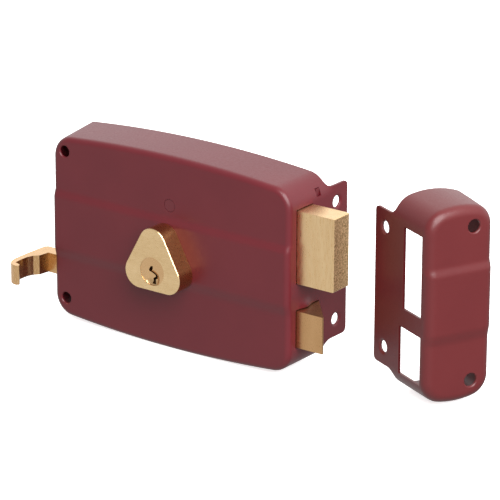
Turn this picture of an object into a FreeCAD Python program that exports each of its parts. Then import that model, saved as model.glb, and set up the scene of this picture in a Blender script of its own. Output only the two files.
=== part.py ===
"""Surface-mounted rim lock with a key-driven deadbolt, a sprung latch with a finger pull, and its keeper.

Millimetres. +X is the direction in which both bolts are thrown, +Y points from the room into the door,
+Z is up. The origin is the centre of the outer cylinder's hole, on the face that bears on the door.
"""
import FreeCAD, Part
import math
import os

V = FreeCAD.Vector
os.makedirs("parts", exist_ok=True)

# ---- driving dimensions -------------------------------------------------------------------------
SHEET = 1.2                # pressed steel of the case and the keeper
CASE_WIDTH = 141.6
CASE_DEPTH = 30.0
CASE_HALF_HEIGHT = 48.65   # at the middle of the arched top and bottom
CASE_DROP = 0.95           # the case's middle below the middle of its band, holes and flange
ARCH_RISE = 3.7            # how much lower the arch is at the case's ends
BACKSET = 72.0             # cylinder axis to the outer face of the forend wall
AXIS_DROP = 7.0            # cylinder axis below the middle of the band
CASE_EDGE_R = 2.8          # rolled edge round the front face
FAR_CORNER_R = 11.0        # far corners, at the front; they sharpen towards the door
FAR_CORNER_BACK_R = 1.6
NEAR_CORNER_R = 11.0       # corners at the forend wall
BAND_LIFT = 1.2            # raised band across the front
BAND_HALF = 18.0           # from the band's middle to the foot of its slope
BAND_SLOPE = 4.0
FLANGE_DEPTH = 16.4        # how far the forend flange stands behind the door face
FLANGE_HALF = 38.2
FLANGE_HOLE_Y = 8.2
FLANGE_HOLE_HALF = 29.5
SCREW_HOLE_R = 2.8
FRONT_HOLE_INSET = 7.2     # case screw holes from the far side wall
FRONT_HOLE_HALF = 37.6

DEADBOLT_THROW = 21.0      # one full turn of the key
LATCH_PROJECTION = 15.0
LATCH_TRAVEL = 14.5
BOLT_FRONT = -24.2         # front faces of both bolts
DEADBOLT_BACK = -11.8
LATCH_BACK = -6.4
DEADBOLT_Z = (4.7, 40.7)
LATCH_Z = (-27.2, -8.9)
BOLT_CLEARANCE = 0.4

PLUG_R = 7.0
PLUG_CLEARANCE = 0.05
LOBE_R = 8.0               # the three round corners of the inner cylinder
LOBE_CENTRES = ((-8.3, -1.9), (8.3, -1.9), (0.0, 13.4))
CYLINDER_STANDOFF = 10.3   # how far the cylinder stands out of the raised band
CYLINDER_REAR = -19.0
CHAMBER_R = 1.5
PIN_R = 1.4
PIN_COUNT = 5
PIN_PITCH = 4.0

PINION_TEETH = 7
TAIL_Y = (-14.8, -11.8)    # the deadbolt's rack plate
ROD_R = 2.75
STRAP_Y = (-24.9, -22.4)
HANDLE_Z = (-23.0, -13.0)
LEVER_PIVOT = (-12.0, -32.5)

KEEPER_WIDTH = 35.3
KEEPER_HALF_HEIGHT = 47.7
KEEPER_EDGE_R = 4.6
KEEPER_TURN = 65.25        # the keeper lies beside the lock, turned about the vertical
KEEPER_PLACE = (118.0, -11.9)
KEEPER_HOLE_R = 3.2
KEEPER_HOLE_INSET = 10.7

# ---- values worked out from them ------------------------------------------------------------------
MID_Z = AXIS_DROP
FRONT = -CASE_DEPTH
BAND_FRONT = FRONT - BAND_LIFT
CYLINDER_FRONT = BAND_FRONT - CYLINDER_STANDOFF
FOREND = BACKSET
FAR_SIDE = BACKSET - CASE_WIDTH
INNER_FRONT = FRONT + SHEET
PLATE_T = 2.0              # back plate
LATCH_MID_Z = sum(LATCH_Z) / 2
ROD_Y = -17.7
INNER_BAND_FRONT = BAND_FRONT + SHEET

FLANGE_LAP = 1.5           # how far the flange laps on to the forend wall
FLANGE_CORNER_R = 2.5
SINK = 0.6                 # depth of the dimple round each flange hole
FRONT_HOLE_X = FAR_SIDE + FRONT_HOLE_INSET
FRONT_HOLES_Z = (MID_Z + FRONT_HOLE_HALF, MID_Z - FRONT_HOLE_HALF)
LUG_SLOT_Y = (-8.2, -4.8)
LUG_SLOT_Z = (43.0, 46.9)
STEM_Y = (-22.4, -15.0)    # the finger pull's stem, through the far side wall
PILLARS = ((-40, 40), (-40, -28), (30, 45.2), (30, -31.6))
PILLAR_R = 3.2
M4_R = 2.0
M3_R = 1.5
COVER_HEAD_R = 3.7
OUTER_CYLINDER_R = 13.0
OUTER_SCREW_X = 19.0
FOREND_PLATE_X = (FOREND - SHEET - 2.4, FOREND - SHEET - 0.2)

BARREL_R = 8.8
TOWER_HALF = 4.0
TOWER_TOP = 19.2
CHAMBER_TOP = 18.2
CHAMBER_CAP_T = 1.2
CYLINDER_SCREWS = ((-12.0, -3.6), (12.0, -3.6))
PLUG_REAR = CYLINDER_REAR + 0.1
CAM_SCREW_X = 5.6
CAM_HEAD_T = 1.0
KEY_PIN_LENGTHS = (5.2, 4.4, 5.6, 4.8, 4.0)
DRIVER_FOOT = PLUG_R + 0.12
DRIVER_LENGTH = 4.5

LEVER_Y = (-18.3, -15.3)
LEVER_BORE_R = 2.5
LEVER_RISE = LATCH_MID_Z - LEVER_PIVOT[1]
LEVER_REST_DEG = math.degrees(math.atan(LATCH_TRAVEL / 2 / LEVER_RISE))
DRIVE_PIN_R = 1.5
DRIVE_PIN_X = LEVER_PIVOT[0] + LATCH_TRAVEL / 2

PRESSURE = math.radians(20)
PITCH = DEADBOLT_THROW / PINION_TEETH
MODULE = PITCH / math.pi
SHIFT = 0.588              # profile shift that keeps so small a pinion free of undercut
PITCH_R = MODULE * PINION_TEETH / 2
BASE_R = PITCH_R * math.cos(PRESSURE)
TIP_R = PITCH_R + MODULE * (0.7 + SHIFT)
ROOT_R = PITCH_R - MODULE * (1.25 - SHIFT)
BACKLASH = 0.14
TOOTH_HALF = MODULE * (math.pi / 4 + SHIFT * math.tan(PRESSURE)) - BACKLASH / 2
TOOTH_HALF_ANGLE = TOOTH_HALF / PITCH_R + math.tan(PRESSURE) - PRESSURE
PITCH_LINE = PITCH_R + MODULE * SHIFT
RACK_TIP = PITCH_LINE - 0.85 * MODULE
RACK_ROOT = PITCH_LINE + 1.0 * MODULE
RACK_EASE = 0.05
RACK_END = 27.0
CAM_R = 8.2
NOSE_R = 10.4
PINION_REAR = TAIL_Y[1] + 0.6

STUD = (1.7, 30.3)
STUD_HEAD_R = 3.0
STUD_WAIST_R = 2.9
TAIL_TOP = 36.0
HEAD_REAR = 45.0
TAIL_FOOT_END = 60.0
TAIL_RIVETS = ((50.0, 12.0), (50.0, 29.0))
RIVET_R = 2.0
LATCH_REAR = 50.0
ROD_END = 2.0
CLIP_X = (4.7, 5.9)
EAR_X = (6.0, 8.5)
STRAP_START = -51.5
STEM_END = -37.0
PULL_RIVETS = (-47.5, -41.0)

KEEPER_WINDOWS = (((-24.8, -8.9), (-5.0, 34.8)), ((-24.8, -5.9), (-37.8, -14.2)))


# ---- small helpers --------------------------------------------------------------------------------
def box(x, y, z):
    return Part.makeBox(x[1] - x[0], y[1] - y[0], z[1] - z[0], V(x[0], y[0], z[0]))


def grown(span, by):
    return span[0] - by, span[1] + by


def cyl_y(x, z, r, y0, y1):
    return Part.makeCylinder(r, y1 - y0, V(x, y0, z), V(0, 1, 0))


def cyl_x(y, z, r, x0, x1):
    return Part.makeCylinder(r, x1 - x0, V(x0, y, z), V(1, 0, 0))


def cyl_z(x, y, r, z0, z1):
    return Part.makeCylinder(r, z1 - z0, V(x, y, z0), V(0, 0, 1))


def cone_y(x, z, r0, r1, y0, y1):
    return Part.makeCone(r0, r1, y1 - y0, V(x, y0, z), V(0, 1, 0))


def prism_y(points, y0, y1):
    """A plate across Y from an outline of (x, z) points."""
    wire = Part.makePolygon([V(x, y0, z) for x, z in points + points[:1]])
    return Part.Face(wire).extrude(V(0, y1 - y0, 0))


def prism_z(points, z0, z1):
    """A bar up Z from an outline of (x, y) points."""
    wire = Part.makePolygon([V(x, y, z0) for x, y in points + points[:1]])
    return Part.Face(wire).extrude(V(0, 0, z1 - z0))


def fuse(shapes):
    body = shapes[0]
    for other in shapes[1:]:
        body = body.fuse(other)
    return body.removeSplitter()


def cut(body, tools):
    for tool in tools:
        body = body.cut(tool)
    return body


def save(name, shape):
    shape.exportStep("parts/" + name + ".step")
    volume = sum(solid.Volume for solid in shape.Solids)
    print(f"{name:22s} solids {len(shape.Solids):2d} valid {shape.isValid()} volume {volume:9.1f}")


def coil(axis_start, direction, mean_r, wire_r, length, turns):
    """A round-wire compression spring that starts at axis_start and runs along direction."""
    pitch = (length - 2 * wire_r) / turns
    helix = Part.makeHelix(pitch, length - 2 * wire_r, mean_r)
    profile = Part.Wire(Part.makeCircle(wire_r, V(mean_r, 0, 0), V(0, 1, 0)))
    spring = Part.Wire(helix.Edges).makePipeShell([profile], True, True)
    spring.translate(V(0, 0, wire_r))
    turn = FreeCAD.Rotation(V(0, 0, 1), direction)
    spring.Placement = FreeCAD.Placement(axis_start, turn).multiply(spring.Placement)
    return spring


# ---- pressed sheet form shared by the case and the keeper ------------------------------------------
# width, half height, drop of the outline below the middle of the band, radius of the rolled edge
CASE_FORM = (CASE_WIDTH, CASE_HALF_HEIGHT, CASE_DROP, CASE_EDGE_R)
KEEPER_FORM = (KEEPER_WIDTH, KEEPER_HALF_HEIGHT, 0.0, KEEPER_EDGE_R)


def pressed_form(form_size, inset, lift=0.0):
    """Filled form of a pressing: forend wall at x = 0, far side at x = -width, door face at y = 0.

    inset moves every wall inwards, so the difference of two forms is a sheet-metal shell.
    """
    width, half_height, drop, edge_r = form_size
    top = half_height - inset
    end = half_height - ARCH_RISE - inset
    x0, x1 = -width + inset, -inset
    front = FRONT - lift + inset
    middle = (x0 + x1) / 2
    up = (V(x0, front, end), V(middle, front, top), V(x1, front, end))
    down = (V(x0, front, -end), V(middle, front, -top), V(x1, front, -end))
    wire = Part.Wire([Part.Arc(*up).toShape(), Part.makeLine(up[2], down[2]),
                      Part.Arc(*reversed(down)).toShape(), Part.makeLine(down[0], up[0])])
    form = Part.Face(wire).extrude(V(0, -front, 0))
    for far in (True, False):
        side = x0 if far else x1
        radii = (FAR_CORNER_R - inset, FAR_CORNER_BACK_R) if far else (NEAR_CORNER_R - inset,) * 2
        edges = [e for e in form.Edges if along_y(e) and abs(e.Vertexes[0].X - side) < 0.01]
        for edge in edges:
            edge_now = [e for e in form.Edges if e.isSame(edge) or same_place(e, edge)][0]
            start, finish = radii if edge_now.Vertexes[0].Y < edge_now.Vertexes[1].Y else radii[::-1]
            form = form.makeFillet(start, finish, [edge_now])
    rim = [e for e in form.Edges if max(v.Y for v in e.Vertexes) < front + 0.01]
    form = form.makeFillet(edge_r - inset, rim)
    form.translate(V(0, 0, -drop))
    return form


def along_y(edge):
    a, b = edge.Vertexes[0].Point, edge.Vertexes[-1].Point
    return abs(a.x - b.x) < 1e-6 and abs(a.z - b.z) < 1e-6 and abs(a.y - b.y) > 1


def same_place(a, b):
    return a.CenterOfMass.distanceToPoint(b.CenterOfMass) < 1e-3 and abs(a.Length - b.Length) < 1e-3


def banded_form(form_size, inset):
    """The pressed form with the band that stands proud across its front."""
    raised = pressed_form(form_size, inset, BAND_LIFT)
    foot, crest = BAND_HALF, BAND_HALF - BAND_SLOPE
    deep, low, high = FRONT / 2, FRONT + inset, BAND_FRONT + inset - 1
    slope = (low - high) / BAND_LIFT * BAND_SLOPE
    outline = [(deep, -foot), (low, -foot), (high, -foot + slope)]
    outline += [(high, foot - slope), (low, foot), (deep, foot)]
    wire = Part.makePolygon([V(1, y, z) for y, z in outline + outline[:1]])
    wedge = Part.Face(wire).extrude(V(-form_size[0] - 2, 0, 0))
    return pressed_form(form_size, inset).fuse(raised.common(wedge))


def pressed_shell(form_size):
    """Open-backed shell with the flange that screws to the edge of the door or of its frame."""
    shell = banded_form(form_size, 0).cut(banded_form(form_size, SHEET))
    flange = box((-SHEET, 0), (-FLANGE_LAP, FLANGE_DEPTH), (-FLANGE_HALF, FLANGE_HALF))
    rear = [e for e in flange.Edges if abs(e.CenterOfMass.y - FLANGE_DEPTH) < 0.01]
    ends = [e for e in rear if abs(e.Length - SHEET) < 0.01]
    flange = flange.makeFillet(FLANGE_CORNER_R, ends)
    holes = []
    for side in (1, -1):
        z = side * FLANGE_HOLE_HALF
        holes.append(cyl_x(FLANGE_HOLE_Y, z, SCREW_HOLE_R, -5, 5))
        dimple_foot = V(-SINK, FLANGE_HOLE_Y, z)
        holes.append(Part.makeCone(SCREW_HOLE_R, SCREW_HOLE_R + SINK, SINK, dimple_foot, V(1, 0, 0)))
    return cut(shell.fuse(flange), holes)


# ---- case and what is fixed in it --------------------------------------------------------------------
def stack_outline(grow):
    """Rear boss of the cylinder: a round barrel for the plug with the pin tower above it."""
    y = (BAND_FRONT - 1, CYLINDER_REAR)
    barrel = cyl_y(0, 0, BARREL_R + grow, *y)
    tower = box((-TOWER_HALF - grow, TOWER_HALF + grow), y, (0, TOWER_TOP + grow))
    return barrel.fuse(tower)


def make_case():
    shell = pressed_shell(CASE_FORM)
    shell.translate(V(FOREND, 0, MID_Z))
    c = BOLT_CLEARANCE
    openings = [
        box((FOREND - 3, FOREND + 1), (BOLT_FRONT - c, DEADBOLT_BACK + c), grown(DEADBOLT_Z, c)),
        box((FOREND - 3, FOREND + 1), (BOLT_FRONT - c, LATCH_BACK + c), grown(LATCH_Z, c)),
        box((FOREND - 7, FOREND + 1), LUG_SLOT_Y, LUG_SLOT_Z),
        box((FAR_SIDE - 1, FAR_SIDE + 3), grown(STEM_Y, c), grown(HANDLE_Z, c)),
        stack_outline(0.3),
        cyl_y(STUD[0], STUD[1], STUD_HEAD_R + 0.05, FRONT - 2, INNER_FRONT + 1),
    ]
    for z in FRONT_HOLES_Z:
        openings.append(cyl_y(FRONT_HOLE_X, z, SCREW_HOLE_R, FRONT - 2, INNER_FRONT + 1))
    for x, z in CYLINDER_SCREWS:
        openings.append(cyl_y(x, z, M3_R + 0.2, BAND_FRONT - 1, INNER_FRONT + 1))
    return cut(shell, openings)


def make_back_plate():
    """Flat cover that closes the case towards the door, with a lug that hooks into the case's slot."""
    outline = pressed_form(CASE_FORM, SHEET + 0.2)
    outline.translate(V(FOREND, 0, MID_Z))
    plate = outline.common(box((FAR_SIDE, FOREND), (-PLATE_T, 0), (-60, 80)))
    lug_z = (LUG_SLOT_Z[0] - 1.5, LUG_SLOT_Z[0] + 1.6)
    lug = box((FOREND - 6.8, FOREND - 5.2), (LUG_SLOT_Y[0] - 0.8, -PLATE_T + 0.5), lug_z)
    tongue = box((FOREND - 5.7, FOREND - 1.1), grown(LUG_SLOT_Y, -0.3), grown(LUG_SLOT_Z, -0.3))
    holes = [cyl_y(0, 0, OUTER_CYLINDER_R, -5, 1)]
    holes += [cyl_y(side * OUTER_SCREW_X, 0, SCREW_HOLE_R, -5, 1) for side in (1, -1)]
    holes += [cyl_y(FRONT_HOLE_X, z, SCREW_HOLE_R, -5, 1) for z in FRONT_HOLES_Z]
    for x, z in PILLARS:
        holes.append(cyl_y(x, z, M4_R + 0.2, -5, 1))
        holes.append(cone_y(x, z, M4_R + 0.2, COVER_HEAD_R + 0.15, -PLATE_T + 0.2, 0))
    return cut(plate.fuse([lug, tongue]), holes)


def make_cover_screws():
    screws = []
    for x, z in PILLARS:
        head = cone_y(x, z, M4_R, COVER_HEAD_R, -PLATE_T + 0.2, -0.05)
        shank = cyl_y(x, z, M4_R - 0.05, -10, -PLATE_T + 0.3)
        slot = box((x - 4, x + 4), (-0.9, 0.5), (z - 0.5, z + 0.5))
        screws.append(head.fuse(shank).cut(slot))
    return Part.makeCompound(screws)


def make_pillars():
    posts = []
    for x, z in PILLARS:
        posts.append(cyl_y(x, z, PILLAR_R, INNER_FRONT, -PLATE_T).cut(cyl_y(x, z, M4_R, -12, 0)))
    return Part.makeCompound(posts)


def make_forend_plate():
    """Stiffener behind the forend wall that both bolts run through."""
    blank = box(FOREND_PLATE_X, (BOLT_FRONT - 1.2, -PLATE_T - 0.2), (-31.0, 43.0))
    room = pressed_form(CASE_FORM, SHEET + 0.1)
    room.translate(V(FOREND, 0, MID_Z))
    plate = blank.common(room)
    c = BOLT_CLEARANCE
    x = (FOREND_PLATE_X[0] - 1, FOREND_PLATE_X[1] + 1)
    windows = [
        box(x, (BOLT_FRONT - 5, DEADBOLT_BACK + c), grown(DEADBOLT_Z, c)),
        box(x, (BOLT_FRONT - 5, LATCH_BACK + c), grown(LATCH_Z, c)),
    ]
    return cut(plate, windows)


def make_guide_block():
    """Cast block between the two bolts; its pockets save metal."""
    z = (LATCH_Z[1] + 0.3, DEADBOLT_Z[0] - 0.3)
    block = box((54, FOREND_PLATE_X[0]), (BOLT_FRONT, -PLATE_T - 0.2), z)
    pockets = [box((x, x + 4.5), (BOLT_FRONT + 3, 0), (-6.5, 2.2)) for x in (56, 62)]
    return cut(block, pockets)


def make_guide_stud():
    """Stud riveted flush into the case front; the rack plate's long slot runs on its waist."""
    x, z = STUD
    parts = [
        cyl_y(x, z, STUD_HEAD_R, FRONT + 0.05, INNER_FRONT),
        cyl_y(x, z, 4.2, INNER_FRONT, TAIL_Y[0] - 0.15),
        cyl_y(x, z, STUD_WAIST_R, TAIL_Y[0] - 0.15, TAIL_Y[1] + 0.15),
        cyl_y(x, z, 4.6, TAIL_Y[1] + 0.15, TAIL_Y[1] + 1.6),
    ]
    return fuse(parts)


def make_friction_spring():
    """Leaf, looped round a pillar, that bears on the rack plate and keeps the deadbolt where it is."""
    top = TAIL_TOP + 0.06
    x, z = PILLARS[0]
    y0, y1 = TAIL_Y[0] + 0.2, TAIL_Y[1] - 0.2
    path = [(x + PILLAR_R + 0.2, z - 0.2), (-30.0, 38.6), (0.0, top), (6.0, top), (9.5, top + 2.0)]
    upper = [(px, pz + 0.5) for px, pz in reversed(path)]
    loop = cyl_y(x, z, PILLAR_R + 0.6, y0, y1).cut(cyl_y(x, z, PILLAR_R + 0.05, y0 - 1, y1 + 1))
    return fuse([prism_y(path + upper, y0, y1), loop])


def make_rod_bracket():
    """Angle welded inside the case front; it carries the latch rod and takes the spring's thrust."""
    upright = box((18.0, 20.5), (INNER_FRONT, -8.0), (-24.0, -12.0))
    foot = box((11.0, 20.5), (INNER_FRONT, INNER_FRONT + 2.0), (-24.0, -12.0))
    return cut(upright.fuse(foot), [cyl_x(ROD_Y, LATCH_MID_Z, ROD_R + 0.05, 17, 22)])


def make_lever_pivot():
    x, z = LEVER_PIVOT
    parts = [
        cyl_y(x, z, 3.0, INNER_FRONT, LEVER_Y[0] - 0.1),
        cyl_y(x, z, LEVER_BORE_R - 0.05, LEVER_Y[0] - 0.1, LEVER_Y[1] + 0.15),
        cyl_y(x, z, 3.4, LEVER_Y[1] + 0.15, LEVER_Y[1] + 1.3),
    ]
    return fuse(parts)


# ---- inner cylinder ------------------------------------------------------------------------------------
def lobed_prism(y0, y1, lobe_r):
    """Triangle with three round corners."""
    (ax, az), (bx, bz), (cx, cz) = LOBE_CENTRES
    lobes = [cyl_y(x, z, lobe_r, y0, y1) for x, z in LOBE_CENTRES]
    tilt = math.hypot(cx - bx, cz - bz)
    nx, nz = (cz - bz) / tilt * lobe_r, (bx - cx) / tilt * lobe_r
    sides = prism_y([(ax, az - lobe_r), (bx, bz - lobe_r), (bx + nx, bz + nz), (cx + nx, cz + nz),
                     (cx - nx, cz + nz), (ax - nx, az + nz)], y0, y1)
    return fuse(lobes + [sides])


def chamber_ys():
    first = CYLINDER_FRONT + 3.2
    return [first + i * PIN_PITCH for i in range(PIN_COUNT)]


def make_cylinder_body():
    body = lobed_prism(CYLINDER_FRONT, BAND_FRONT, LOBE_R)
    rim = [e for e in body.Edges if max(v.Y for v in e.Vertexes) < CYLINDER_FRONT + 0.01]
    body = body.makeChamfer(0.3, rim)
    rear = stack_outline(0).common(box((-20, 20), (BAND_FRONT, CYLINDER_REAR), (-20, 30)))
    tools = [cyl_y(0, 0, PLUG_R + PLUG_CLEARANCE, CYLINDER_FRONT - 1, CYLINDER_REAR + 1)]
    tools += [cyl_z(0, y, CHAMBER_R, 0, CHAMBER_TOP) for y in chamber_ys()]
    tools += [cyl_y(x, z, M3_R, BAND_FRONT - 7, BAND_FRONT + 1) for x, z in CYLINDER_SCREWS]
    return cut(body.fuse(rear), tools)


def keyway_outline():
    """S-shaped warding of the keyway, from the plug's centre down to its lower edge."""
    right = [(0.3, 2.7), (0.3, 1.2), (-0.6, 0.3), (2.4, -1.6)]
    right += [(2.4, -3.4), (1.0, -4.3), (1.3, -5.6), (1.9, -6.4)]
    left = [(-0.6, -6.4), (-0.2, -5.0), (-0.6, -3.9), (0.9, -2.9)]
    left += [(0.9, -2.1), (-1.9, -0.2), (-1.9, 0.8), (-0.9, 2.6)]
    return right + left


def make_plug():
    plug = cyl_y(0, 0, PLUG_R, CYLINDER_FRONT + 0.15, PLUG_REAR)
    dimple = Part.makeSphere(6.2, V(0.1, CYLINDER_FRONT - 4.4, -3.4))
    tools = [prism_y(keyway_outline(), CYLINDER_FRONT - 1, PLUG_REAR - 2.5), dimple]
    tools += [cyl_z(0, y, CHAMBER_R, 0.5, PLUG_R + 1) for y in chamber_ys()]
    tools += [cyl_y(side * CAM_SCREW_X, 0, 0.95, PLUG_REAR - 4, PLUG_REAR + 1) for side in (1, -1)]
    return cut(plug, tools)


def make_key_pins():
    pins = []
    top = math.sqrt(PLUG_R ** 2 - PIN_R ** 2) - 0.05
    for i, y in enumerate(chamber_ys()):
        length = KEY_PIN_LENGTHS[i]
        point = Part.makeCone(0.5, PIN_R, 0.9, V(0, y, top - length), V(0, 0, 1))
        pins.append(point.fuse(cyl_z(0, y, PIN_R, top - length + 0.9, top)))
    return Part.makeCompound(pins)


def make_driver_pins():
    pins = []
    for y in chamber_ys():
        pins.append(cyl_z(0, y, PIN_R, DRIVER_FOOT, DRIVER_FOOT + DRIVER_LENGTH))
    return Part.makeCompound(pins)


def make_pin_springs():
    start = DRIVER_FOOT + DRIVER_LENGTH
    length = CHAMBER_TOP - CHAMBER_CAP_T - start
    springs = [coil(V(0, y, start), V(0, 0, 1), 1.0, 0.25, length, 4) for y in chamber_ys()]
    return Part.makeCompound(springs)


def make_chamber_caps():
    foot = CHAMBER_TOP - CHAMBER_CAP_T
    return Part.makeCompound([cyl_z(0, y, CHAMBER_R, foot, CHAMBER_TOP) for y in chamber_ys()])


def make_cylinder_screws():
    screws = []
    for x, z in CYLINDER_SCREWS:
        shank = cyl_y(x, z, M3_R - 0.05, BAND_FRONT - 6, INNER_BAND_FRONT)
        head = cyl_y(x, z, 2.6, INNER_BAND_FRONT, INNER_BAND_FRONT + 1.9)
        slot = box((x - 3, x + 3), (INNER_BAND_FRONT + 1.1, INNER_BAND_FRONT + 3), (z - 0.4, z + 0.4))
        screws.append(shank.fuse(head).cut(slot))
    return Part.makeCompound(screws)


# ---- rack and pinion -----------------------------------------------------------------------------------
def involute_half(base_r, tip_r, half_angle, steps):
    """Points of one flank from the base circle to the tip, half_angle being where it crosses the base."""
    points = []
    for i in range(steps + 1):
        r = base_r + (tip_r - base_r) * i / steps
        pressure = math.acos(min(1.0, base_r / r))
        angle = half_angle - (math.tan(pressure) - pressure)
        points.append((r, angle))
    return points


def make_drive_cam():
    """Cam disc on the plug's tail, with the pinion and the socket for the outer cylinder's tailpiece."""
    disc = cyl_y(0, 0, CAM_R, PLUG_REAR, LEVER_Y[1])
    nose_outline = [(-CAM_R + 0.6, 0), (CAM_R - 0.6, 0), (2.2, NOSE_R - 1.4), (-2.2, NOSE_R - 1.4)]
    nose = prism_y(nose_outline, PLUG_REAR, LEVER_Y[1])
    tip = cyl_y(0, NOSE_R - 2.2, 2.2, PLUG_REAR, LEVER_Y[1])
    outline = []
    flank = involute_half(BASE_R, TIP_R, TOOTH_HALF_ANGLE, 5)
    for tooth in range(PINION_TEETH):
        centre = math.pi / 2 + 2 * math.pi * tooth / PINION_TEETH
        outline.append((ROOT_R, centre - TOOTH_HALF_ANGLE))
        outline += [(r, centre - a) for r, a in flank]
        outline += [(r, centre + a) for r, a in reversed(flank)]
        outline.append((ROOT_R, centre + TOOTH_HALF_ANGLE))
    gear = prism_y([(r * math.cos(a), r * math.sin(a)) for r, a in outline], LEVER_Y[1], PINION_REAR)
    collar = cyl_y(0, 0, 4.4, PINION_REAR, -7.6)
    tools = [box((-3.2, 3.2), (-10.6, -7), (-1.1, 1.1))]
    for side in (1, -1):
        tools.append(cyl_y(side * CAM_SCREW_X, 0, 1.0, PLUG_REAR - 1, LEVER_Y[1] - 0.5))
        tools.append(cyl_y(side * CAM_SCREW_X, 0, 1.6, LEVER_Y[1] - CAM_HEAD_T, LEVER_Y[1]))
    return cut(fuse([disc, nose, tip, gear, collar]), tools)


def make_cam_screws():
    screws = []
    for side in (1, -1):
        x = side * CAM_SCREW_X
        shank = cyl_y(x, 0, 0.9, PLUG_REAR - 3.5, LEVER_Y[1] - CAM_HEAD_T)
        head = cyl_y(x, 0, 1.5, LEVER_Y[1] - CAM_HEAD_T, LEVER_Y[1] - 0.1)
        screws.append(shank.fuse(head))
    return Part.makeCompound(screws)


def make_deadbolt_tail():
    """Rack plate: teeth over the pinion, a long guide slot above, and a foot in the bolt head."""
    web = prism_y([(-6.5, RACK_ROOT), (RACK_END, RACK_ROOT), (RACK_END + 3, DEADBOLT_Z[0] + 0.3),
                   (TAIL_FOOT_END, DEADBOLT_Z[0] + 0.3), (TAIL_FOOT_END, TAIL_TOP), (-4.0, TAIL_TOP),
                   (-4.0, 25.6), (23.0, 25.6), (27.0, 21.6), (27.0, 16.0), (23.0, 12.0), (-6.5, 12.0)],
                  TAIL_Y[0], TAIL_Y[1])
    teeth = []
    count = int((RACK_END + 6.0) // PITCH)
    for i in range(count):
        centre = -4.5 + i * PITCH
        half_root = PITCH / 4 - RACK_EASE + (RACK_ROOT - PITCH_LINE) * math.tan(PRESSURE)
        half_tip = PITCH / 4 - RACK_EASE - (PITCH_LINE - RACK_TIP) * math.tan(PRESSURE)
        teeth.append(prism_y([(centre - half_root, RACK_ROOT + 0.2), (centre - half_root, RACK_ROOT),
                              (centre - half_tip, RACK_TIP), (centre + half_tip, RACK_TIP),
                              (centre + half_root, RACK_ROOT), (centre + half_root, RACK_ROOT + 0.2)],
                             TAIL_Y[0], TAIL_Y[1]))
    x, z = STUD
    w = STUD_WAIST_R + 0.1
    slot = fuse([cyl_y(x, z, w, -20, 0), cyl_y(x + DEADBOLT_THROW, z, w, -20, 0),
                 box((x, x + DEADBOLT_THROW), (-20, 0), (z - w, z + w))])
    rivets = [cyl_y(x, z, RIVET_R, -20, 0) for x, z in TAIL_RIVETS]
    return cut(fuse([web] + teeth), [slot] + rivets)


def make_deadbolt_head():
    head = box((HEAD_REAR, FOREND + DEADBOLT_THROW), (BOLT_FRONT, DEADBOLT_BACK), DEADBOLT_Z)
    seat = box((HEAD_REAR - 1, TAIL_FOOT_END + 0.2), (TAIL_Y[0], TAIL_Y[1] + 1), (0, TAIL_TOP + 0.3))
    holes = [cyl_y(x, z, RIVET_R, BOLT_FRONT + 3, 0) for x, z in TAIL_RIVETS]
    outer = [e for e in head.Edges if min(v.X for v in e.Vertexes) > FOREND]
    return cut(head.makeChamfer(0.35, outer), [seat] + holes)


def make_deadbolt_rivets():
    return Part.makeCompound([cyl_y(x, z, RIVET_R, BOLT_FRONT + 3, TAIL_Y[1]) for x, z in TAIL_RIVETS])


# ---- latch and finger pull --------------------------------------------------------------------------------
def make_latch_head():
    tip = FOREND + LATCH_PROJECTION
    outline = [(LATCH_REAR, BOLT_FRONT), (tip, BOLT_FRONT), (tip, BOLT_FRONT + 1.0)]
    outline += [(FOREND + 0.3, LATCH_BACK), (LATCH_REAR, LATCH_BACK)]
    head = prism_z(outline, LATCH_Z[0], LATCH_Z[1])
    socket = cyl_x(ROD_Y, LATCH_MID_Z, ROD_R, LATCH_REAR - 1, LATCH_REAR + 8)
    return head.cut(socket)


def make_latch_rod():
    rod = cyl_x(ROD_Y, LATCH_MID_Z, ROD_R, ROD_END, LATCH_REAR + 8)
    groove = cyl_x(ROD_Y, LATCH_MID_Z, 5, CLIP_X[0], CLIP_X[1]).cut(cyl_x(ROD_Y, LATCH_MID_Z, 2.0, 0, 10))
    return rod.cut(groove)


def make_rod_clip():
    ring = cyl_x(ROD_Y, LATCH_MID_Z, 4.4, CLIP_X[0], CLIP_X[1])
    mouth = box((CLIP_X[0] - 1, CLIP_X[1] + 1), (ROD_Y - 1.2, ROD_Y + 1.2), (LATCH_MID_Z - 6, LATCH_MID_Z))
    return cut(ring, [cyl_x(ROD_Y, LATCH_MID_Z, 2.0, 0, 10), mouth])


def make_latch_spring():
    start = 20.5
    return coil(V(start, ROD_Y, LATCH_MID_Z), V(1, 0, 0), 4.0, 0.6, LATCH_REAR - start, 9)


def make_pull_handle():
    """Finger pull cut from a drawn brass bar: flat stem, thin grip bent towards the room, lipped tip."""
    x = FAR_SIDE
    grip_x = x - 17.4
    outer = [(STEM_END, STEM_Y[1]), (grip_x + 1.6, STEM_Y[1]), (grip_x + 0.3, STEM_Y[1] - 1.2),
             (grip_x, STEM_Y[1] - 4.0), (grip_x - 0.3, -30.0), (grip_x - 0.2, -38.5), (grip_x + 0.6, -42.5),
             (grip_x + 2.6, -45.3), (grip_x + 5.2, -46.6), (grip_x + 7.0, -46.6), (grip_x + 8.0, -45.6)]
    inner = [(grip_x + 7.2, -44.2), (grip_x + 3.6, -43.0), (grip_x + 3.4, -41.0), (grip_x + 3.2, -37.0),
             (grip_x + 3.4, -33.5), (grip_x + 4.5, -30.5), (grip_x + 6.2, -28.6), (grip_x + 6.6, -28.4),
             (grip_x + 7.4, STEM_Y[0]), (STEM_END, STEM_Y[0])]
    handle = prism_z(outer + inner, HANDLE_Z[0], HANDLE_Z[1])
    return cut(handle, [cyl_y(hole, LATCH_MID_Z, RIVET_R, -40, 0) for hole in PULL_RIVETS])


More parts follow.
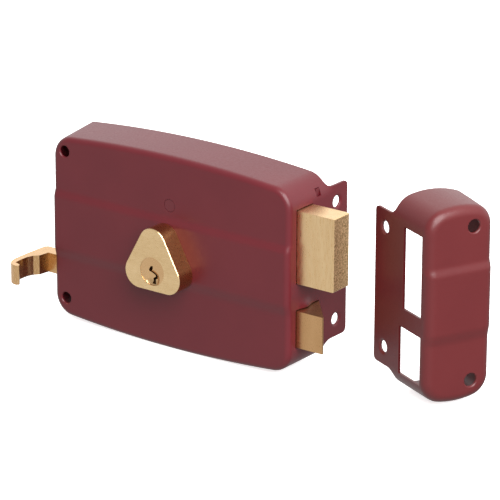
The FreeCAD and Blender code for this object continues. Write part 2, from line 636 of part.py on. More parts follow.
def make_pull_strap():
    """Steel strap riveted to the finger pull; its bent ear drags the latch rod by the clip."""
    strap = box((STRAP_START, EAR_X[1]), STRAP_Y, (LATCH_MID_Z - 4, LATCH_MID_Z + 4))
    ear = box(EAR_X, (STRAP_Y[0], -12.8), (LATCH_MID_Z - 4.6, LATCH_MID_Z + 4.6))
    holes = [cyl_x(ROD_Y, LATCH_MID_Z, ROD_R + 0.3, EAR_X[0] - 1, EAR_X[1] + 1)]
    holes += [cyl_y(x, LATCH_MID_Z, RIVET_R, -30, 0) for x in PULL_RIVETS]
    holes.append(cyl_y(DRIVE_PIN_X, LATCH_MID_Z, DRIVE_PIN_R, -30, 0))
    return cut(strap.fuse(ear), holes)


def make_pull_rivets():
    return Part.makeCompound([cyl_y(x, LATCH_MID_Z, RIVET_R, STRAP_Y[0], STEM_Y[1]) for x in PULL_RIVETS])


def make_drive_pin():
    return cyl_y(DRIVE_PIN_X, LATCH_MID_Z, DRIVE_PIN_R, STRAP_Y[0], LEVER_Y[1] + 0.3)


def make_latch_lever():
    """Lever that lets the cam draw the latch: bored on the pivot stud, forked round the strap's pin."""
    length = 23.4
    w = DRIVE_PIN_R + 0.4
    low = LEVER_RISE - 0.4
    high = math.hypot(LEVER_RISE, LATCH_TRAVEL / 2) + 0.4
    shoulder = high + w + 2.0
    bar = box((-3.9, 3.9), LEVER_Y, (0, shoulder))
    head_outline = [(-3.9, shoulder), (3.9, shoulder), (1.9, length), (-1.9, length)]
    head = prism_y(head_outline, LEVER_Y[0], LEVER_Y[1])
    hub = cyl_y(0, 0, 4.2, LEVER_Y[0], LEVER_Y[1])
    slot = fuse([cyl_y(0, low, w, -30, 0), cyl_y(0, high, w, -30, 0), box((-w, w), (-30, 0), (low, high))])
    lever = cut(fuse([bar, head, hub]), [slot, cyl_y(0, 0, LEVER_BORE_R, -30, 0)])
    lever.rotate(V(0, 0, 0), V(0, 1, 0), LEVER_REST_DEG)
    lever.translate(V(LEVER_PIVOT[0], 0, LEVER_PIVOT[1]))
    return lever


# ---- keeper ---------------------------------------------------------------------------------------------
def make_keeper():
    """Strike for both bolts, the same pressing in a narrow width and the other hand."""
    shell = pressed_shell(KEEPER_FORM).mirror(V(0, 0, 0), V(1, 0, 0))
    tools = [box((-1, 3), (y0, y1), (z0, z1)) for (y0, y1), (z0, z1) in KEEPER_WINDOWS]
    hole_x = KEEPER_WIDTH - KEEPER_HOLE_INSET
    for side in (1, -1):
        tools.append(cyl_y(hole_x, side * FRONT_HOLE_HALF, KEEPER_HOLE_R, FRONT - 2, -20))
    shell = cut(shell, tools)
    shell.rotate(V(0, 0, 0), V(0, 0, 1), KEEPER_TURN)
    shell.translate(V(KEEPER_PLACE[0], KEEPER_PLACE[1], MID_Z))
    return shell


NODES = {
    "case": make_case,
    "back_plate": make_back_plate,
    "cover_screws": make_cover_screws,
    "spacer_pillars": make_pillars,
    "forend_plate": make_forend_plate,
    "guide_block": make_guide_block,
    "guide_stud": make_guide_stud,
    "friction_spring": make_friction_spring,
    "rod_bracket": make_rod_bracket,
    "lever_pivot": make_lever_pivot,
    "cylinder_body": make_cylinder_body,
    "cylinder_screws": make_cylinder_screws,
    "driver_pins": make_driver_pins,
    "pin_springs": make_pin_springs,
    "chamber_caps": make_chamber_caps,
    "cylinder_plug": make_plug,
    "key_pins": make_key_pins,
    "drive_cam": make_drive_cam,
    "cam_screws": make_cam_screws,
    "deadbolt_head": make_deadbolt_head,
    "deadbolt_tail": make_deadbolt_tail,
    "deadbolt_rivets": make_deadbolt_rivets,
    "latch_head": make_latch_head,
    "latch_rod": make_latch_rod,
    "rod_clip": make_rod_clip,
    "latch_spring": make_latch_spring,
    "pull_handle": make_pull_handle,
    "pull_strap": make_pull_strap,
    "pull_rivets": make_pull_rivets,
    "drive_pin": make_drive_pin,
    "latch_lever": make_latch_lever,
    "keeper": make_keeper,
}
for node, make in NODES.items():
    save(node, make())
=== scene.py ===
"""Looks of the rim lock and its keeper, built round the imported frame. Metres, in the frame's own axes."""
import math
import bmesh
import bpy
from mathutils import Matrix, Vector


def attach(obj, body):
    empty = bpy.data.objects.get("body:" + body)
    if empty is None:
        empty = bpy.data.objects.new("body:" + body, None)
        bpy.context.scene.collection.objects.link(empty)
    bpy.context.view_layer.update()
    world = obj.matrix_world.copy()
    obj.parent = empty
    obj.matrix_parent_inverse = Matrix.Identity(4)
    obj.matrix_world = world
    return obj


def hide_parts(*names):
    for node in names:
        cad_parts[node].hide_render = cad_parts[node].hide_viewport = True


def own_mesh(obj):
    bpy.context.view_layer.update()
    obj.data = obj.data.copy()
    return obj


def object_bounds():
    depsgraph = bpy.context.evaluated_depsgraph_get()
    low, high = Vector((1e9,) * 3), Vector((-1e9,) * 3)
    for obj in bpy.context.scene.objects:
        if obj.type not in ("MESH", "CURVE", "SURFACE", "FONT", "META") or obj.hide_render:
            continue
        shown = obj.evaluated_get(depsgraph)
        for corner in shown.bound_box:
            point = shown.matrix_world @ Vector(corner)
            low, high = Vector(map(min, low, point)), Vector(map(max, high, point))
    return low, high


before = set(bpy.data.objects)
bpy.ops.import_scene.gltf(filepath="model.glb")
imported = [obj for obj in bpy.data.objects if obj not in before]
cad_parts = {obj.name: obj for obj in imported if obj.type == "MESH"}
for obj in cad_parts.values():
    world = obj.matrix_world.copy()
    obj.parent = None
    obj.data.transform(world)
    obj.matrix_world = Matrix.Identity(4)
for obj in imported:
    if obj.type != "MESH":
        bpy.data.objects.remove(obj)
cad_box = [list(corner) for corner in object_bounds()]
MM = 0.001


# ---- node helpers -----------------------------------------------------------------------------------
def new_material(name, base, metallic, roughness, specular=0.5):
    material = bpy.data.materials.new(name)
    material.use_nodes = True
    tree = material.node_tree
    shader = tree.nodes["Principled BSDF"]
    shader.inputs["Base Color"].default_value = (*base, 1)
    shader.inputs["Metallic"].default_value = metallic
    shader.inputs["Roughness"].default_value = roughness
    shader.inputs["Specular IOR Level"].default_value = specular
    return material, tree, shader


def noise(tree, scale, detail=4.0, roughness=0.55, stretch=(1, 1, 1)):
    """Noise in object space, in cycles per metre, that may be drawn out along an axis."""
    coords = tree.nodes.new("ShaderNodeTexCoord")
    mapping = tree.nodes.new("ShaderNodeMapping")
    mapping.inputs["Scale"].default_value = stretch
    texture = tree.nodes.new("ShaderNodeTexNoise")
    texture.inputs["Scale"].default_value = scale
    texture.inputs["Detail"].default_value = detail
    texture.inputs["Roughness"].default_value = roughness
    tree.links.new(coords.outputs["Object"], mapping.inputs["Vector"])
    tree.links.new(mapping.outputs["Vector"], texture.inputs["Vector"])
    return texture.outputs["Fac"]


def ramp(tree, value, stops):
    node = tree.nodes.new("ShaderNodeValToRGB")
    while len(node.color_ramp.elements) < len(stops):
        node.color_ramp.elements.new(0.5)
    for element, (position, colour) in zip(node.color_ramp.elements, stops):
        element.position = position
        element.color = (*colour, 1)
    tree.links.new(value, node.inputs["Fac"])
    return node.outputs["Color"]


def to_range(tree, value, low, high, out_low, out_high):
    node = tree.nodes.new("ShaderNodeMapRange")
    node.inputs["From Min"].default_value = low
    node.inputs["From Max"].default_value = high
    node.inputs["To Min"].default_value = out_low
    node.inputs["To Max"].default_value = out_high
    tree.links.new(value, node.inputs["Value"])
    return node.outputs["Result"]


def object_axes(tree):
    """The shaded point in object space, with a socket for each axis."""
    coords = tree.nodes.new("ShaderNodeTexCoord")
    split = tree.nodes.new("ShaderNodeSeparateXYZ")
    tree.links.new(coords.outputs["Object"], split.inputs["Vector"])
    return split.outputs


def bump(tree, shader, heights, distance):
    """Chains bumps, each (height socket, strength), into the shader's normal."""
    normal = None
    for height, strength in heights:
        node = tree.nodes.new("ShaderNodeBump")
        node.inputs["Strength"].default_value = strength
        node.inputs["Distance"].default_value = distance
        tree.links.new(height, node.inputs["Height"])
        if normal is not None:
            tree.links.new(normal, node.inputs["Normal"])
        normal = node.outputs["Normal"]
    tree.links.new(normal, shader.inputs["Normal"])


# ---- materials ------------------------------------------------------------------------------------------
def paint(name, low, high):
    """Powder coat: almost even colour over a very fine orange peel."""
    material, tree, shader = new_material(name, low, 0.0, 0.38, 0.43)
    colour = ramp(tree, noise(tree, 30, 3), [(0.35, low), (0.65, high)])
    tree.links.new(colour, shader.inputs["Base Color"])
    tree.links.new(to_range(tree, noise(tree, 1100, 3), 0.3, 0.7, 0.32, 0.42), shader.inputs["Roughness"])
    bump(tree, shader, [(noise(tree, 500, 2), 0.06), (noise(tree, 1900, 2), 0.06)], 0.0003)
    return material


def brass(name, light, dark, rough, grain=0.08, stretch=(1, 1, 1), strength=0.2, scale=2400):
    """Worked brass: fine grain in colour, gloss and relief over a slow change of tone."""
    material, tree, shader = new_material(name, light, 1.0, rough)
    fine = noise(tree, scale, 4, 0.6, stretch)
    slow = noise(tree, scale / 12, 3, 0.5, stretch)
    mixed = tree.nodes.new("ShaderNodeMath")
    mixed.operation = "MULTIPLY_ADD"
    mixed.inputs[1].default_value = 0.35
    tree.links.new(slow, mixed.inputs[0])
    scaled = to_range(tree, fine, 0.0, 1.0, 0.0, 0.65)
    tree.links.new(scaled, mixed.inputs[2])
    colour = ramp(tree, mixed.outputs["Value"], [(0.36, dark), (0.62, light)])
    tree.links.new(colour, shader.inputs["Base Color"])
    tree.links.new(to_range(tree, fine, 0.3, 0.7, rough - grain, rough + grain), shader.inputs["Roughness"])
    bump(tree, shader, [(fine, strength)], 0.0002)
    return material, tree, shader


def steel(name, base, rough):
    """Plated or bare steel: slow changes of tone under a fine, even grain."""
    material, tree, shader = new_material(name, base, 1.0, rough)
    fine = noise(tree, 1200, 5)
    tree.links.new(to_range(tree, fine, 0.3, 0.7, rough - 0.08, rough + 0.1), shader.inputs["Roughness"])
    lighter = tuple(min(1, c * 1.12) for c in base)
    darker = tuple(c * 0.85 for c in base)
    tone = ramp(tree, noise(tree, 90, 4), [(0.3, darker), (0.7, lighter)])
    tree.links.new(tone, shader.inputs["Base Color"])
    bump(tree, shader, [(fine, 0.12)], 0.0002)
    return material


def end_grain(material, tree, shader, limit):
    """Beyond limit along X the end is sawn: coarser grain in colour, and rougher."""
    axes = object_axes(tree)
    end = to_range(tree, axes["X"], limit, limit + 0.0001, 0.0, 1.0)
    sawn = ramp(tree, noise(tree, 1250, 3, 0.7), [(0.36, (0.42, 0.25, 0.11)), (0.62, (0.98, 0.72, 0.40))])
    mix = tree.nodes.new("ShaderNodeMix")
    mix.data_type = "RGBA"
    tree.links.new(end, mix.inputs["Factor"])
    tree.links.new(shader.inputs["Base Color"].links[0].from_socket, mix.inputs[6])
    tree.links.new(sawn, mix.inputs[7])
    tree.links.new(mix.outputs[2], shader.inputs["Base Color"])
    add_roughness(tree, shader, end, 0.22)
    return material


def drawn_skin_and_painted_shade(material, tree, shader, depth, skin):
    """Behind depth the bar's colour is multiplied by skin: partly its darker drawn skin, partly painted
    shade on its sides; only the face is milled bright.
    """
    axes = object_axes(tree)
    behind = to_range(tree, axes["Y"], depth, depth + 0.0001, 0.0, 1.0)
    mix = tree.nodes.new("ShaderNodeMix")
    mix.data_type = "RGBA"
    mix.blend_type = "MULTIPLY"
    tree.links.new(behind, mix.inputs["Factor"])
    tree.links.new(shader.inputs["Base Color"].links[0].from_socket, mix.inputs[6])
    mix.inputs[7].default_value = (*skin, 1)
    tree.links.new(mix.outputs[2], shader.inputs["Base Color"])
    return material


def add_roughness(tree, shader, where, extra):
    """Raises the roughness by extra where the socket is 1."""
    more = tree.nodes.new("ShaderNodeMath")
    more.operation = "MULTIPLY_ADD"
    more.inputs[1].default_value = extra
    tree.links.new(where, more.inputs[0])
    tree.links.new(shader.inputs["Roughness"].links[0].from_socket, more.inputs[2])
    tree.links.new(more.outputs["Value"], shader.inputs["Roughness"])


def part_painted(name, axis, span, share):
    """Zinc-plated steel painted over at one end; share is how bare it is at each end of span along axis."""
    material, tree, shader = new_material(name, COAT, 0.0, 0.36)
    axes = object_axes(tree)
    inside = to_range(tree, axes[axis], *span, *share)
    tree.links.new(ramp(tree, inside, [(0.0, COAT), (1.0, BARE_STEEL)]), shader.inputs["Base Color"])
    tree.links.new(inside, shader.inputs["Metallic"])
    bump(tree, shader, [(noise(tree, 500, 2), 0.06)], 0.0003)
    return material


BOLT_SAWN_FROM = 0.0929                 # along X, just inside the thrown deadbolt's end
CYLINDER_SKIN_AND_SHADE_FROM = -0.0412            # along Y, just behind the cylinder's milled face; the sides behind it carry drawn skin and painted shade
STUD_COAT_DEPTH = (-0.0288, -0.0286)    # along Y, from painted end to bare steel
LUG_COAT_DEPTH = (0.0675, 0.0677)       # along X, from bare steel to painted end
COAT = (0.102, 0.0088, 0.0140)
BARE_STEEL = (0.56, 0.56, 0.54)
PAINT = paint("burgundy_paint", COAT, (0.111, 0.0100, 0.0152))
# painted light: the keeper gets its own mix of the case's burgundy, tuned to the tone it shows under the
# lamps
KEEPER_PAINT_TUNED_TO_LIGHT = paint("burgundy_paint_keeper_tuned_to_light", (0.101, 0.0112, 0.0130), (0.109, 0.0128, 0.0143))
BOLT_BRASS = end_grain(
    *brass("bolt_brass", (0.93, 0.67, 0.37), (0.80, 0.53, 0.26), 0.30, 0.05, (1, 1, 0.12), 0.10, 2000),
    BOLT_SAWN_FROM
)
# painted shade and painted reflection: the latch gets darker, redder brass than the bolt, for the shade it
# lies in and the red case it mirrors
LATCH_BRASS_PAINTED_SHADE = brass("latch_brass_painted_shade", (0.70, 0.42, 0.20), (0.60, 0.34, 0.15), 0.30, 0.04, (1, 1, 0.4), 0.08)[0]
# painted shade: the cylinder's sides are darkened by (0.62, 0.45, 0.36), partly a darker drawn skin, partly
# the shade and dim reflection they stand in
CYLINDER_BRASS = drawn_skin_and_painted_shade(
    *brass("cylinder_brass", (0.95, 0.69, 0.38), (0.82, 0.57, 0.29), 0.29, 0.04, (0.2, 1, 1), 0.12),
    CYLINDER_SKIN_AND_SHADE_FROM, (0.62, 0.45, 0.36)
)
DRAWN_BRASS = brass("drawn_brass", (0.78, 0.50, 0.25), (0.64, 0.38, 0.17), 0.24, 0.05, (1, 1, 0.2), 0.12)[0]
PLUG_BRASS = brass("plug_brass", (0.82, 0.53, 0.27), (0.72, 0.45, 0.22), 0.24, 0.04, (1, 1, 1), 0.08)[0]
ZINC = steel("zinc_steel", BARE_STEEL, 0.34)
SCREWS = steel("screw_steel", (0.36, 0.36, 0.35), 0.3)
SPRING = steel("spring_steel", (0.42, 0.42, 0.44), 0.28)
DIE_CAST = steel("die_cast_zinc", (0.48, 0.48, 0.49), 0.46)
PAINTED_STUD = part_painted("painted_stud", "Y", STUD_COAT_DEPTH, (0.0, 1.0))
PAINTED_LUG = part_painted("painted_lug", "X", LUG_COAT_DEPTH, (1.0, 0.0))
FINISHES = {
    "case": PAINT, "keeper": KEEPER_PAINT_TUNED_TO_LIGHT, "back_plate": PAINTED_LUG, "guide_stud": PAINTED_STUD,
    "cylinder_body": CYLINDER_BRASS, "cylinder_plug": PLUG_BRASS, "deadbolt_head": BOLT_BRASS,
    "latch_head": LATCH_BRASS_PAINTED_SHADE, "pull_handle": DRAWN_BRASS, "key_pins": DRAWN_BRASS,
    "driver_pins": DRAWN_BRASS, "chamber_caps": DRAWN_BRASS, "guide_block": DIE_CAST,
    "drive_cam": DIE_CAST, "friction_spring": SPRING, "pin_springs": SPRING, "latch_spring": SPRING,
    "rod_clip": SPRING, "cover_screws": SCREWS, "cam_screws": SCREWS, "cylinder_screws": SCREWS,
}
for node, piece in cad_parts.items():
    piece.data.materials.clear()
    piece.data.materials.append(FINISHES.get(node, ZINC))


# ---- case and keeper: the same pressing in two widths, in millimetres ----------------------------------
SHEET = 1.2
ARCH_RISE = 3.7
DEPTH = 30.0
FAR_R_FRONT = 11.0
FAR_R_BACK = 1.6
NEAR_R = 11.0
BAND_LIFT = 1.2
BAND_SLOPE = 4.8        # upper crease, from its foot to the raised band
LOW_BAND_SLOPE = 7.0    # lower crease, drawn out more gently
FLANGE_DEPTH = 16.4
FLANGE_HALF = 38.2
FLANGE_FILLET = 4.0
FLANGE_CORNER = 2.5
# width, half height, drop of the outline below the band's middle, edge radius, band's reach up and down
CASE_FORM = (141.6, 48.65, 0.95, 2.8, 18.2, 18.2)
KEEPER_FORM = (35.3, 47.7, 0.0, 4.6, 20.4, 18.6)
TOP_STEPS, CORNER_STEPS, SIDE_STEPS = 48, 12, 96


def ring(form, inset, far_r):
    """One loop of the pressing: four sides, each from one corner's middle to the next corner's."""
    width, half_height, drop = form[:3]
    half = width / 2
    arch_r = (ARCH_RISE ** 2 + half ** 2) / (2 * ARCH_RISE)
    arch_z = half_height - arch_r
    arch_r -= inset
    corners = []
    for side, r in ((-1, far_r), (1, NEAR_R)):
        r = max(r - inset, 0.4)
        offset = side * (half - inset - r)
        height = arch_z + math.sqrt((arch_r - r) ** 2 - offset ** 2)
        corners.append((offset, height, r, math.atan2(height - arch_z, offset)))
    (lx, lz, lr, left_a), (rx, rz, rr, right_a) = corners
    half_corner = CORNER_STEPS // 2
    left = [arc_point(lx, lz, lr, math.pi, left_a, i / CORNER_STEPS) for i in range(CORNER_STEPS + 1)]
    right = [arc_point(rx, rz, rr, right_a, 0, i / CORNER_STEPS) for i in range(CORNER_STEPS + 1)]
    arch = [arc_point(0, arch_z, arch_r, left_a, right_a, i / TOP_STEPS) for i in range(1, TOP_STEPS)]
    top = left[half_corner:] + arch + right[:half_corner + 1]
    wall = [(half - inset, rz * (1 - 2 * i / SIDE_STEPS)) for i in range(1, SIDE_STEPS)]
    right_side = right[half_corner:] + wall + mirrored(right[half_corner:])
    wall = [(inset - half, lz * (1 - 2 * i / SIDE_STEPS)) for i in range(1, SIDE_STEPS)]
    left_end = list(reversed(left[:half_corner + 1]))
    left_side = left_end + wall + mirrored(left_end)
    bottom = [(x, -z) for x, z in top]
    return [[(x, z - drop) for x, z in side] for side in (top, right_side, bottom, left_side)]


def mirrored(points):
    return [(x, -z) for x, z in reversed(points)]


def arc_point(x, z, r, start, end, share):
    angle = start + (end - start) * share
    return x + r * math.cos(angle), z + r * math.sin(angle)


def smooth(share):
    share = min(1.0, max(0.0, share))
    return share * share * (3 - 2 * share)


def lifted(form, y, z):
    foot, slope = (form[4], BAND_SLOPE) if z > 0 else (form[5], LOW_BAND_SLOPE)
    rise = (foot - abs(z)) / slope
    return y - BAND_LIFT * smooth(rise) * smooth((-y - 18) / 6)


def pressed_skin(form):
    """Outer skin as vertices and faces: walls, rolled edge and banded front."""
    edge_r = form[3]
    wall_steps = 16
    levels = [(0.0, (edge_r - DEPTH) * i / wall_steps) for i in range(wall_steps + 1)]
    for step in range(1, 11):
        angle = math.pi / 2 * step / 10
        levels.append((edge_r * (1 - math.cos(angle)), edge_r - DEPTH - edge_r * math.sin(angle)))
    points, faces = [], []
    count = 0
    for inset, y in levels:
        far_r = FAR_R_BACK + (FAR_R_FRONT - FAR_R_BACK) * -y / DEPTH
        top, right_side, bottom, left_side = ring(form, inset, far_r)
        loop = top[:-1] + right_side[:-1] + list(reversed(bottom))[:-1] + list(reversed(left_side))[:-1]
        count = len(loop)
        points += [(x, lifted(form, y, z), z) for x, z in loop]
    for level in range(len(levels) - 1):
        for i in range(count):
            j = (i + 1) % count
            a, b = level * count, (level + 1) * count
            faces.append((a + i, a + j, b + j, b + i))
    columns, rows = len(top) - 1, len(right_side) - 1
    last = (len(levels) - 1) * count
    index = {}
    for c in range(columns + 1):
        index[c, 0] = last + c
        index[c, rows] = last + columns + rows + (columns - c)
    for r in range(1, rows):
        index[columns, r] = last + columns + r
        index[0, r] = last + (count - r)
    corner = [top[0], top[-1], bottom[0], bottom[-1]]
    for r in range(1, rows):
        v = r / rows
        for c in range(1, columns):
            u = c / columns
            place = []
            for axis in (0, 1):
                ends = (1 - u) * left_side[r][axis] + u * right_side[r][axis]
                sides = (1 - v) * top[c][axis] + v * bottom[c][axis]
                flat = (1 - v) * ((1 - u) * corner[0][axis] + u * corner[1][axis])
                flat += v * ((1 - u) * corner[2][axis] + u * corner[3][axis])
                place.append(ends + sides - flat)
            index[c, r] = len(points)
            points.append((place[0], lifted(form, -DEPTH, place[1]), place[1]))
    for r in range(rows):
        for c in range(columns):
            faces.append((index[c, r], index[c + 1, r], index[c + 1, r + 1], index[c, r + 1]))
    return points, faces


def make_object(name, points, faces):
    mesh = bpy.data.meshes.new(name)
    mesh.from_pydata([tuple(c * MM for c in p) for p in points], [], faces)
    mesh.validate()
    piece = bpy.data.objects.new(name, mesh)
    bpy.context.scene.collection.objects.link(piece)
    bm = bmesh.new()
    bm.from_mesh(mesh)
    bmesh.ops.recalc_face_normals(bm, faces=bm.faces)
    bm.to_mesh(mesh)
    bm.free()
    return piece


def baked(piece):
    """Applies every modifier of piece."""
    bpy.context.view_layer.update()
    depsgraph = bpy.context.evaluated_depsgraph_get()
    mesh = bpy.data.meshes.new_from_object(piece.evaluated_get(depsgraph))
    piece.modifiers.clear()
    piece.data = mesh


def carve(piece, tools, operation="DIFFERENCE"):
    for tool in tools:
        cutter = piece.modifiers.new("cut", "BOOLEAN")
        cutter.operation = operation
        cutter.solver = "EXACT"
        cutter.object = tool
    baked(piece)
    for tool in tools:
        bpy.data.objects.remove(tool)


def lathe(name, profile, place, direction, steps=48):
    """A closed turned solid: profile is (distance along the axis, radius) from one end to the other."""
    points, faces = [], []
    for t, r in profile:
        for i in range(steps):
            angle = 2 * math.pi * i / steps
            points.append((r * math.cos(angle), r * math.sin(angle), t))
    for ring_index in range(len(profile) - 1):
        for i in range(steps):
            j = (i + 1) % steps
            a, b = ring_index * steps, (ring_index + 1) * steps
            faces.append((a + i, a + j, b + j, b + i))
    faces.append(tuple(range(steps)))
    faces.append(tuple(range((len(profile) - 1) * steps, len(profile) * steps)))
    piece = make_object(name, points, faces)
    turn = Vector(direction).to_track_quat("Z", "Y").to_matrix().to_4x4()
    piece.data.transform(Matrix.Translation(Vector(place) * MM) @ turn)
    return piece


def block(name, x, y, z):
    points = [(a, b, c) for a in x for b in y for c in z]
    faces = [(0, 1, 3, 2), (4, 6, 7, 5), (0, 4, 5, 1), (2, 3, 7, 6), (0, 2, 6, 4), (1, 5, 7, 3)]
    return make_object(name, points, faces)


def dimple(name, x, z, outward):
    """Cutter of a flange hole whose rim is pressed in."""
    profile = [(-4.0, 2.8), (-0.9, 2.8)]
    for step in range(9):
        angle = math.pi / 2 * step / 8
        profile.append((-0.9 + 0.9 * math.sin(angle), 2.8 + 1.5 * (1 - math.cos(angle))))
    profile.append((2.0, 4.3))
    return lathe(name, profile, (x, 8.2, z), (outward, 0, 0))


def flange_half(y, round_end):
    """Half the flange's width at depth y: hollow where it leaves the wall, rounded at its far corners."""
    half = FLANGE_HALF
    if y < FLANGE_FILLET:
        half += FLANGE_FILLET - math.sqrt(FLANGE_FILLET ** 2 - (FLANGE_FILLET - y) ** 2)
    past = y - (FLANGE_DEPTH - round_end)
    if past > 0:
        half -= round_end - math.sqrt(max(round_end ** 2 - past ** 2, 0))
    return half


def flange(name, form, outward):
    """Flange plate: the forend wall's sheet carried on, curved like the wall's corners where it starts."""
    width = form[0]
    right_side = ring(form, 0, FAR_R_BACK)[1]
    corner_z = [z for x, z in right_side if x > width / 2 - 0.001]
    top_z, low_z = max(corner_z), min(corner_z)
    straight = FLANGE_DEPTH - FLANGE_CORNER
    rows = [FLANGE_FILLET * (i / 6) ** 1.5 for i in range(7)]
    rows += [FLANGE_FILLET + (straight - FLANGE_FILLET) * i / 5 for i in range(1, 6)]
    rows += [straight + FLANGE_CORNER * math.sin(math.pi / 2 * i / 7) for i in range(1, 8)]
    columns = 80
    skin = []
    for y in rows:
        half = flange_half(y, FLANGE_CORNER)
        for c in range(columns + 1):
            z = half * (1 - 2 * c / columns)
            past = max(z - top_z, low_z - z, 0.0)
            sunk = NEAR_R - math.sqrt(max(NEAR_R ** 2 - past ** 2, 0))
            skin.append((-sunk * (1 - smooth(y / 7.0)), y, z))
    points = [(outward * (width / 2 + x), y, z) for x, y, z in skin]
    points += [(outward * (width / 2 + x - SHEET), y, z) for x, y, z in skin]
    faces, n, across = [], len(skin), columns + 1
    for r in range(len(rows) - 1):
        for c in range(columns):
            a = r * across + c
            faces.append((a, a + 1, a + across + 1, a + across))
            faces.append((n + a, n + a + across, n + a + across + 1, n + a + 1))
    rim = list(range(across))
    rim += [r * across + columns for r in range(1, len(rows))]
    rim += [(len(rows) - 1) * across + c for c in range(columns - 1, -1, -1)]
    rim += [r * across for r in range(len(rows) - 2, 0, -1)]
    for i, a in enumerate(rim):
        b = rim[(i + 1) % len(rim)]
        faces.append((a, b, n + b, n + a))
    return make_object(name, points, faces)


def pressing(name, form, flange_side, bulge=None):
    """The shell, centred on its width, open towards +Y; flange_side is +1 or -1 along X."""
    width = form[0]
    points, faces = pressed_skin(form)
    if bulge:
        points = [(x + bulge(x, y, z), y, z) for x, y, z in points]
    if flange_side < 0:
        points = [(-x, y, z) for x, y, z in points]
    shell = make_object(name, points, faces)
    thick = shell.modifiers.new("sheet", "SOLIDIFY")
    thick.thickness = SHEET * MM
    thick.offset = -1
    thick.use_even_offset = True
    baked(shell)
    plate = flange("flange", form, flange_side)
    carve(plate, [dimple("dimple", flange_side * width / 2, z, flange_side) for z in (29.5, -29.5)])
    return shell, plate


def finished(piece, parts, material, place, turn=0.0):
    """Joins parts into piece, puts it in place and shades it with crisp cut edges."""
    bm = bmesh.new()
    for source in (piece, *parts):
        bm.from_mesh(source.data)
    bm.to_mesh(piece.data)
    bm.free()
    for source in parts:
        bpy.data.objects.remove(source)
    moved = Matrix.Translation(Vector(place) * MM) @ Matrix.Rotation(math.radians(turn), 4, "Z")
    piece.data.transform(moved)
    piece.data.materials.clear()
    piece.data.materials.append(material)
    piece.data.shade_smooth()
    piece.data.set_sharp_from_angle(angle=math.radians(32))


FOREND = 72.0                   # outer face of the case's forend wall
CASE_MID = FOREND - CASE_FORM[0] / 2
MID_Z = 7.0                     # middle of case and keeper, above the cylinder's axis
HOLE_HALF = 37.6                # front holes, above and below that middle
OPENING_FRONT = -24.6           # along Y, where both bolts' openings start
FOREND_WALL = (66, 75)          # cutters through the forend wall, along X from the case's middle
FRONT_WALL = (-34, -26)         # cutters through the front, along Y
LIP_RISE = 1.5
KEEPER_TURN = 65.25             # degrees about Z
KEEPER_PLACE = (118.0, -11.9)   # X and Y of the keeper's forend face at its open back


def latch_lip(x, y, z):
    """The forend wall is pushed out a little over the latch's opening."""
    if x < CASE_FORM[0] / 2 - 0.01:
        return 0.0
    return LIP_RISE * math.exp(-((y + 17.0) / 3.6) ** 2 - ((z + 15.0) / 2.6) ** 2)


def bore(name, r, x, z):
    """Cutter of a plain round hole through the front."""
    return lathe(name, [(FRONT_WALL[0], r), (FRONT_WALL[1], r)], (x, 0, z), (0, 1, 0))


def front_hole(name, r, x, z):
    """Cutter of a hole in the front with a softly broken edge."""
    profile = [(-36, r + 0.5), (-30, r + 0.5), (-29.95, r + 0.42), (-29.8, r + 0.2)]
    profile += [(-29.5, r), (-24, r)]
    return lathe(name, profile, (x, 0, z), (0, 1, 0))


case, case_flange = pressing("case_shell", CASE_FORM, 1, latch_lip)
cutters = [
    block("deadbolt_opening", FOREND_WALL, (OPENING_FRONT, -11.4), (4.3 - MID_Z, 41.1 - MID_Z)),
    block("latch_opening", FOREND_WALL, (OPENING_FRONT, -6.0), (-27.6 - MID_Z, -8.5 - MID_Z)),
    block("lug_slot", (63, 74), (-8.2, -4.8), (43.0 - MID_Z, 46.9 - MID_Z)),
    block("pull_slot", (-75, -66), (-22.8, -14.6), (-23.4 - MID_Z, -12.6 - MID_Z)),
    bore("barrel_hole", 9.1, -CASE_MID, -MID_Z),
    block("tower_hole", (-4.3 - CASE_MID, 4.3 - CASE_MID), FRONT_WALL, (-MID_Z, 19.5 - MID_Z)),
    bore("stud_hole", 3.18, 1.7 - CASE_MID, 30.3 - MID_Z),
]
for z in (HOLE_HALF, -HOLE_HALF):
    cutters.append(front_hole("screw_hole", 2.8, -62.4 - CASE_MID, z))
for x in (12.0, -12.0):
    cutters.append(bore("fixing_hole", 1.7, x - CASE_MID, -3.6 - MID_Z))
carve(case, cutters)
finished(case, [case_flange], PAINT, (CASE_MID, 0, MID_Z))
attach(case, "case")
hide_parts("case")

keeper, keeper_flange = pressing("keeper_shell", KEEPER_FORM, -1)
forend = -KEEPER_FORM[0] / 2
cutters = [
    block("deadbolt_window", (forend - 2, forend + 4), (-24.8, -8.9), (-5.0, 34.8)),
    block("latch_window", (forend - 2, forend + 4), (-24.8, -5.9), (-37.8, -14.2)),
]
for z in (HOLE_HALF, -HOLE_HALF):
    cutters.append(front_hole("keeper_hole", 3.2, forend + 24.6, z))
carve(keeper, cutters)
turn = math.radians(KEEPER_TURN)
middle = (KEEPER_PLACE[0] - forend * math.cos(turn), KEEPER_PLACE[1] - forend * math.sin(turn), MID_Z)
finished(keeper, [keeper_flange], KEEPER_PAINT_TUNED_TO_LIGHT, middle, KEEPER_TURN)
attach(keeper, "keeper")
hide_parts("keeper")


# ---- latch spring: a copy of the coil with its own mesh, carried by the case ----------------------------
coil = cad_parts["latch_spring"]
spring = bpy.data.objects.new("latch_spring_coils", coil.data.copy())
bpy.context.scene.collection.objects.link(spring)
spring.matrix_world = coil.matrix_world.copy()
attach(spring, "case")
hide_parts("latch_spring")
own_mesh(spring)


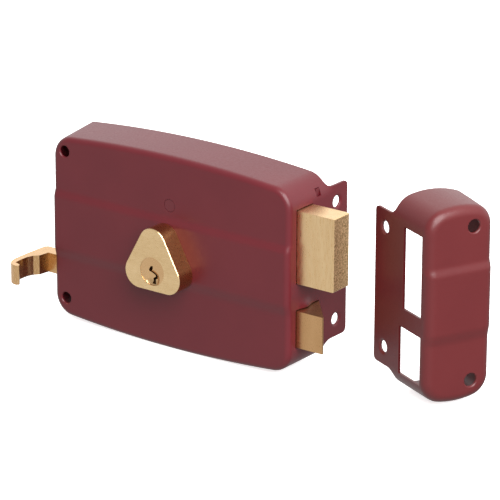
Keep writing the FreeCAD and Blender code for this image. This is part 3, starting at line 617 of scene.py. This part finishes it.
# ---- camera, floor and light ----------------------------------------------------------------------------
camera = bpy.data.objects.new("camera", bpy.data.cameras.new("camera"))
bpy.context.scene.collection.objects.link(camera)
right = Vector((0.80405, 0.59454, 0.00396)).normalized()
forward = Vector((-0.55890, 0.75809, -0.33607)).normalized()
up = right.cross(forward).normalized()
right = forward.cross(up)
turned = Matrix((right, up, -forward)).transposed().to_4x4()
camera.matrix_world = Matrix.Translation((1.00818, -1.33073, 0.59484)) @ turned
camera.data.sensor_width = 36
camera.data.lens = 264.09
camera.data.clip_start = 0.05
camera.data.clip_end = 50
bpy.context.scene.camera = camera


def panel(name, size, place, target, power):
    """A white rectangular lamp at place that faces target."""
    lamp = bpy.data.lights.new(name, "AREA")
    lamp.shape = "RECTANGLE"
    lamp.size, lamp.size_y = size
    lamp.energy = power
    holder = bpy.data.objects.new(name, lamp)
    bpy.context.scene.collection.objects.link(holder)
    holder.location = place
    holder.rotation_euler = (Vector(target) - Vector(place)).to_track_quat("-Z", "Y").to_euler()


FLOOR_HALF = 6
floor_z = cad_box[0][2]
floor_mesh = bpy.data.meshes.new("floor")
floor_corners = [(x * FLOOR_HALF, y * FLOOR_HALF, floor_z) for x, y in ((-1, -1), (1, -1), (1, 1), (-1, 1))]
floor_mesh.from_pydata(floor_corners, [], [(0, 1, 2, 3)])
floor = bpy.data.objects.new("floor", floor_mesh)
bpy.context.scene.collection.objects.link(floor)
white, _, white_shader = new_material("floor_white", (0.9, 0.9, 0.9), 0.0, 0.9, 0.1)
white_shader.inputs["Emission Color"].default_value = (1, 1, 1, 1)
white_shader.inputs["Emission Strength"].default_value = 0.7
floor_mesh.materials.append(white)
floor.visible_glossy = False
floor.visible_diffuse = False


def studio_world():
    """White studio: above the horizon bright behind and dim in front; below it dimmest behind right."""
    world = bpy.data.worlds.new("studio")
    bpy.context.scene.world = world
    world.use_nodes = True
    tree = world.node_tree
    coords = tree.nodes.new("ShaderNodeTexCoord")
    split = tree.nodes.new("ShaderNodeSeparateXYZ")
    tree.links.new(coords.outputs["Generated"], split.inputs["Vector"])
    above = to_range(tree, split.outputs["Z"], -0.22, 0.08, 0.0, 1.0)
    high = to_range(tree, split.outputs["Y"], -0.2, 0.4, 0.5, 1.3)
    aside = tree.nodes.new("ShaderNodeVectorMath")
    aside.operation = "DOT_PRODUCT"
    aside.inputs[1].default_value = (0.6, 0.8, 0.0)
    tree.links.new(coords.outputs["Generated"], aside.inputs[0])
    low = to_range(tree, aside.outputs["Value"], -0.1, 0.7, 0.72, 0.42)
    mix = tree.nodes.new("ShaderNodeMix")
    mix.data_type = "FLOAT"
    tree.links.new(above, mix.inputs["Factor"])
    tree.links.new(low, mix.inputs[2])
    tree.links.new(high, mix.inputs[3])
    background = tree.nodes["Background"]
    background.inputs["Color"].default_value = (1, 1, 1, 1)
    tree.links.new(mix.outputs[0], background.inputs["Strength"])


studio_world()
panel("key", (1.1, 1.1), (0.75, -0.52, 0.8), (0, 0, 0), 31.0)
bpy.context.scene.view_settings.view_transform = "Standard"
